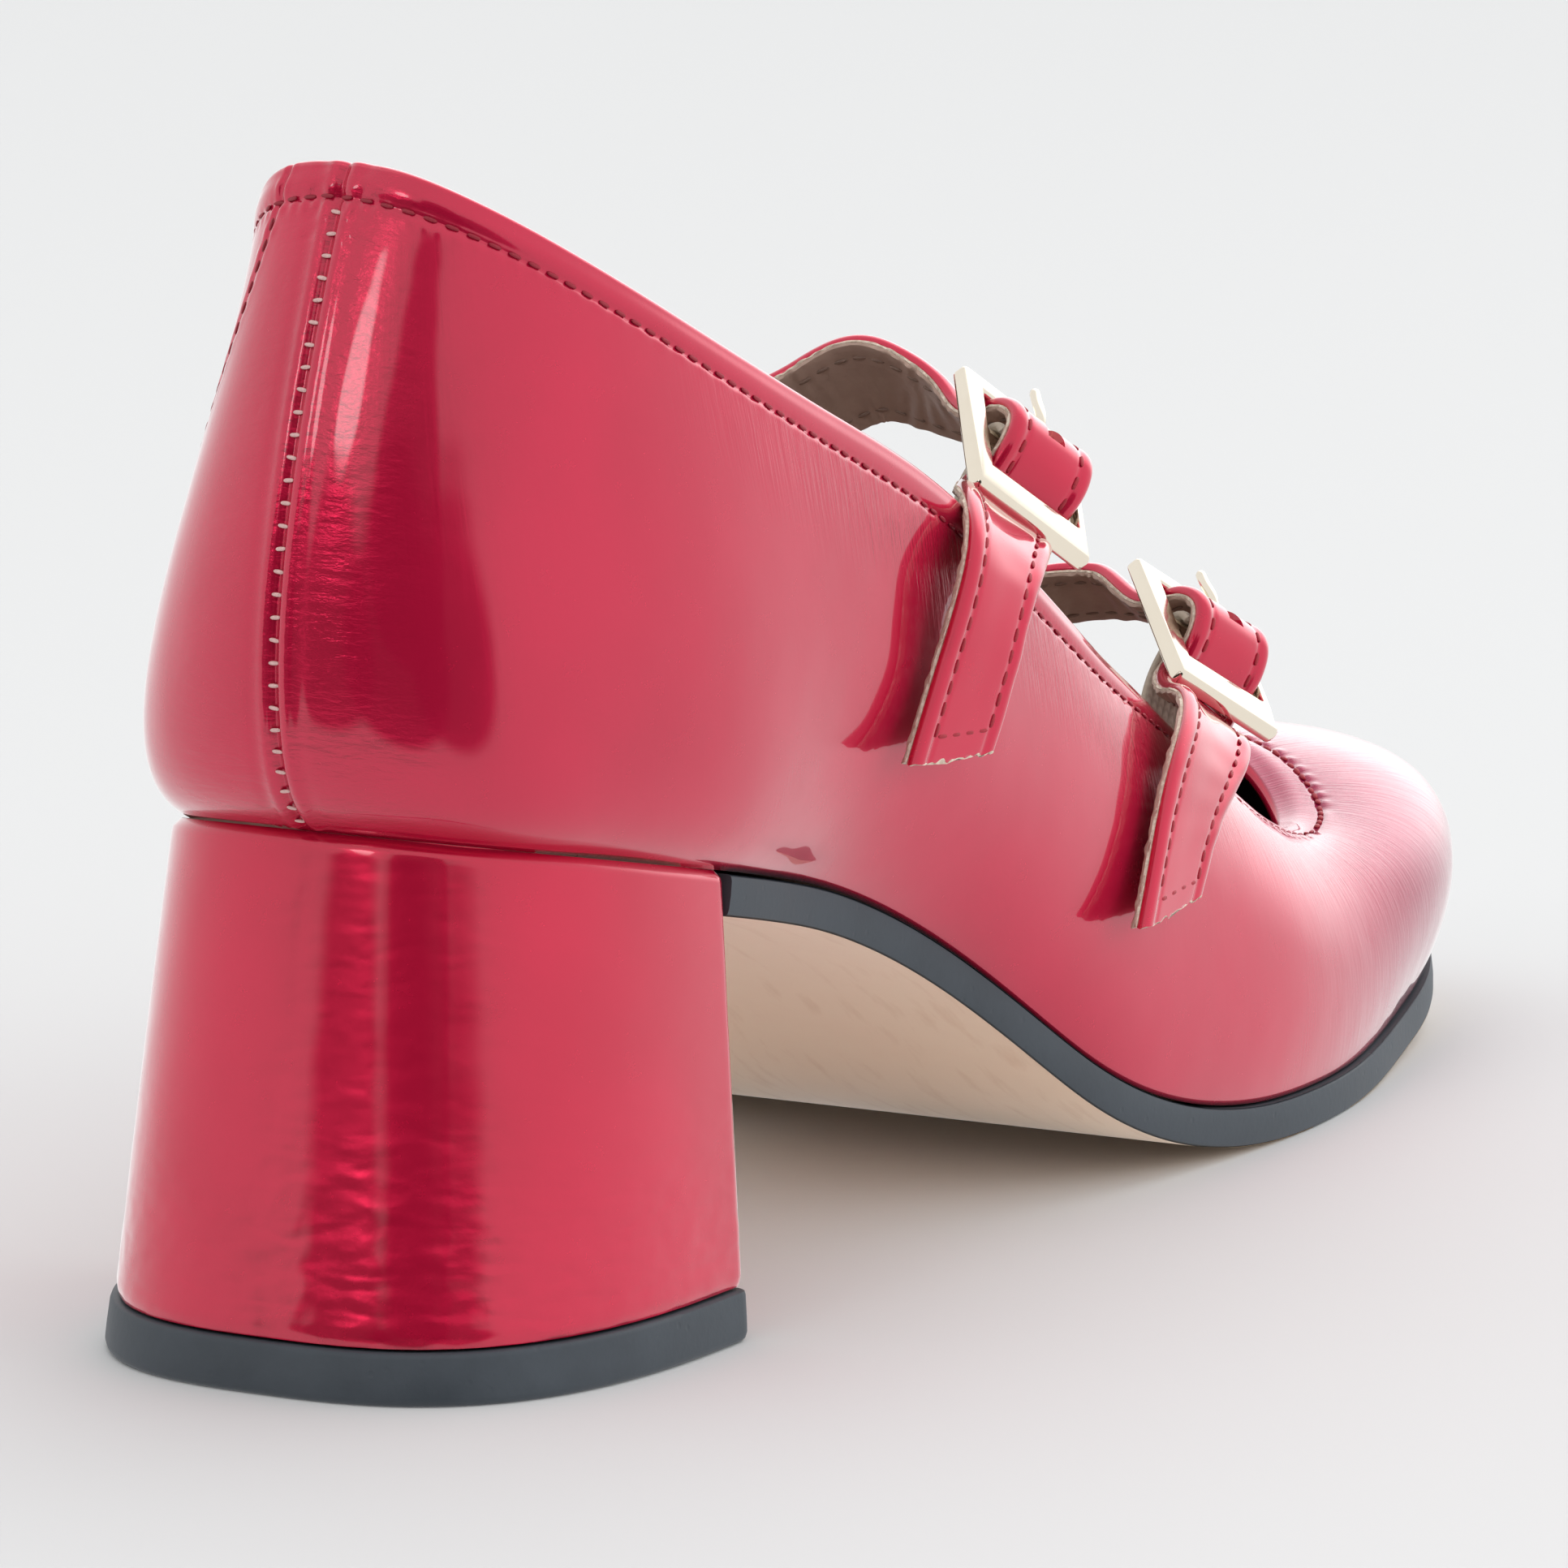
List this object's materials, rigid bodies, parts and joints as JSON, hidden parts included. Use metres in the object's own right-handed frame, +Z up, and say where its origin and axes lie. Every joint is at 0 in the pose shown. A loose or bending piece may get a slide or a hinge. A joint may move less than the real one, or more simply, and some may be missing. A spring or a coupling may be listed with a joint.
{
  "type": "mary jane shoe",
  "caption": "Patent leather mary jane shoe for the right foot with buckled instep straps over a cut-away topline and a flared block heel.",
  "frame": {"origin": "centre of the bounding box's bottom face, on the floor under the arch", "axes": "+X from heel to toe, +Y to the medial (inner) side, +Z up from the floor"},
  "size_m": [0.237, 0.0758, 0.112],
  "materials": {
    "patent_leather": "patent gloss, crimson",
    "sole_rubber": "matte charcoal",
    "insole_leather": "soft satin, taupe",
    "buckle_metal": "polished pale gold",
    "elastic_knit": "knitted beige elastic"
  },
  "bodies": {
    "root": {"upper": "patent_leather", "insole": "insole_leather", "outsole": "sole_rubber", "heel": "patent_leather", "top_piece": "sole_rubber", "strap_rear": "patent_leather", "strap_front": "patent_leather", "buckle_frame_rear": "buckle_metal", "buckle_frame_front": "buckle_metal", "buckle_prong_rear": "buckle_metal", "buckle_prong_front": "buckle_metal", "elastic_rear": "elastic_knit", "elastic_front": "elastic_knit"}
  },
  "joints": []
}
